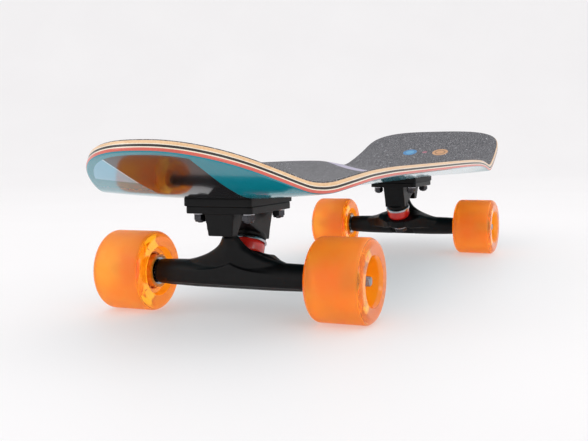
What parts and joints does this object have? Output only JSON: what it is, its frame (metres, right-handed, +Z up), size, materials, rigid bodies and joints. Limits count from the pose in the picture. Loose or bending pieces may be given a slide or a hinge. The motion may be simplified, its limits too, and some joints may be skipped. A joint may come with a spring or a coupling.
{
  "type": "skateboard",
  "caption": "Cruiser skateboard with a round nose, squared kick tail, dished laminated deck, riser pads, sprung steering trucks and wide soft wheels on ball bearings.",
  "frame": {"origin": "middle of the overall box, on the floor the wheels stand on", "axes": "+X along the board towards the rounded nose, +Y to its left side, +Z up"},
  "size_m": [0.7648, 0.2308, 0.1524],
  "materials": {
    "deck_wood": "clear-coated maple laminate, seven plies, dyed lower plies and painted underside",
    "grip": "coarse abrasive sheet, dark grey",
    "black_cast": "satin black painted cast aluminium",
    "riser": "matte black moulded plastic",
    "cup_plastic": "black moulded plastic",
    "bushing_red": "glossy red cast polyurethane",
    "hardware": "black-oxide steel",
    "bright_steel": "bright zinc-plated steel",
    "axle_steel": "ground steel",
    "urethane": "translucent orange cast polyurethane, matte tread, glossy lips",
    "core_plastic": "translucent amber moulded core",
    "cage": "moulded polymer ball cage"
  },
  "bodies": {
    "root": {"deck": "deck_wood", "grip_tape": "grip", "mounting_bolts": "hardware", "mounting_nuts": "hardware", "front_riser_pad": "riser", "front_baseplate": "black_cast", "front_pivot_cup": "cup_plastic", "front_kingpin": "hardware", "front_kingpin_nut": "hardware", "front_upper_bushing": "bushing_red", "front_lower_bushing": "bushing_red", "front_bushing_washers": "bright_steel", "rear_riser_pad": "riser", "rear_baseplate": "black_cast", "rear_pivot_cup": "cup_plastic", "rear_kingpin": "hardware", "rear_kingpin_nut": "hardware", "rear_upper_bushing": "bushing_red", "rear_lower_bushing": "bushing_red", "rear_bushing_washers": "bright_steel"},
    "front_truck": {"front_hanger": "black_cast", "front_axle": "axle_steel", "front_speed_rings": "bright_steel", "front_axle_spacers": "axle_steel", "front_inner_races": "bright_steel", "front_axle_nuts": "bright_steel"},
    "front_left_wheel": {"front_left_tyre": "urethane", "front_left_wheel_core": "core_plastic", "front_left_outer_races": "bright_steel", "front_left_bearing_balls": "bright_steel", "front_left_bearing_cages": "cage", "front_left_bearing_shields": "bright_steel"},
    "front_right_wheel": {"front_right_tyre": "urethane", "front_right_wheel_core": "core_plastic", "front_right_outer_races": "bright_steel", "front_right_bearing_balls": "bright_steel", "front_right_bearing_cages": "cage", "front_right_bearing_shields": "bright_steel"},
    "rear_truck": {"rear_hanger": "black_cast", "rear_axle": "axle_steel", "rear_speed_rings": "bright_steel", "rear_axle_spacers": "axle_steel", "rear_inner_races": "bright_steel", "rear_axle_nuts": "bright_steel"},
    "rear_left_wheel": {"rear_left_tyre": "urethane", "rear_left_wheel_core": "core_plastic", "rear_left_outer_races": "bright_steel", "rear_left_bearing_balls": "bright_steel", "rear_left_bearing_cages": "cage", "rear_left_bearing_shields": "bright_steel"},
    "rear_right_wheel": {"rear_right_tyre": "urethane", "rear_right_wheel_core": "core_plastic", "rear_right_outer_races": "bright_steel", "rear_right_bearing_balls": "bright_steel", "rear_right_bearing_cages": "cage", "rear_right_bearing_shields": "bright_steel"}
  },
  "joints": [
    {"name": "front_steer", "type": "hinge", "parent": "root", "child": "front_truck", "pos_m": [0.26323, 0, 0.0705], "axis": [0.7716, 0, 0.6361], "range_deg": [-12, 12], "stiffness_Nm_per_rad": 40, "deforming": ["front_upper_bushing", "front_lower_bushing"]},
    {"name": "rear_steer", "type": "hinge", "parent": "root", "child": "rear_truck", "pos_m": [-0.22557, 0, 0.0705], "axis": [-0.7716, 0, 0.6361], "range_deg": [-12, 12], "stiffness_Nm_per_rad": 40, "deforming": ["rear_upper_bushing", "rear_lower_bushing"]},
    {"name": "front_left_spin", "type": "hinge", "parent": "front_truck", "child": "front_left_wheel", "pos_m": [0.24723, 0.082, 0.0325], "axis": [0, 1, 0], "continuous": true},
    {"name": "front_right_spin", "type": "hinge", "parent": "front_truck", "child": "front_right_wheel", "pos_m": [0.24723, -0.082, 0.0325], "axis": [0, 1, 0], "continuous": true},
    {"name": "rear_left_spin", "type": "hinge", "parent": "rear_truck", "child": "rear_left_wheel", "pos_m": [-0.20957, 0.082, 0.0325], "axis": [0, 1, 0], "continuous": true},
    {"name": "rear_right_spin", "type": "hinge", "parent": "rear_truck", "child": "rear_right_wheel", "pos_m": [-0.20957, -0.082, 0.0325], "axis": [0, 1, 0], "continuous": true}
  ]
}
